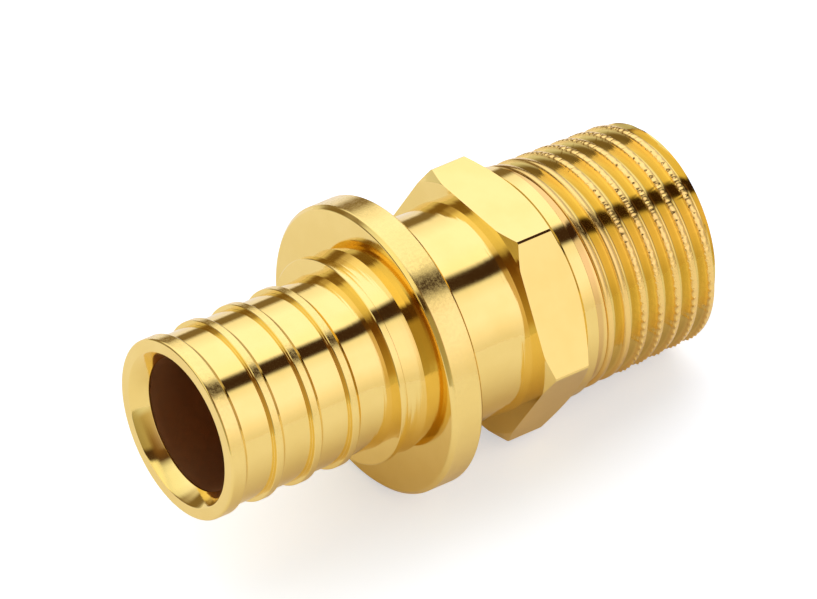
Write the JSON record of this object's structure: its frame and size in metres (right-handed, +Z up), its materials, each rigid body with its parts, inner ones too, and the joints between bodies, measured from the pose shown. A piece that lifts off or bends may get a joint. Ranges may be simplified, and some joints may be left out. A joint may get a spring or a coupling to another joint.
{
  "type": "straight pipe connector",
  "caption": "Straight brass connector with a ribbed tail for plastic pipe, a flange, a hexagon and a tapered male pipe thread, bored through.",
  "frame": {"origin": "middle of the bottom of the bounding box, on the surface the piece lies on", "axes": "+Z up; +X is the way the threaded end points, level; the piece's own axis dips 6.5 degrees below +X because it lies on its flange and on the end of its thread; +Y completes a right-handed frame"},
  "size_m": [0.0526, 0.0268, 0.0269],
  "materials": {
    "brass": "fine turned, bright"
  },
  "bodies": {
    "root": {"connector_body": "brass"}
  },
  "joints": []
}
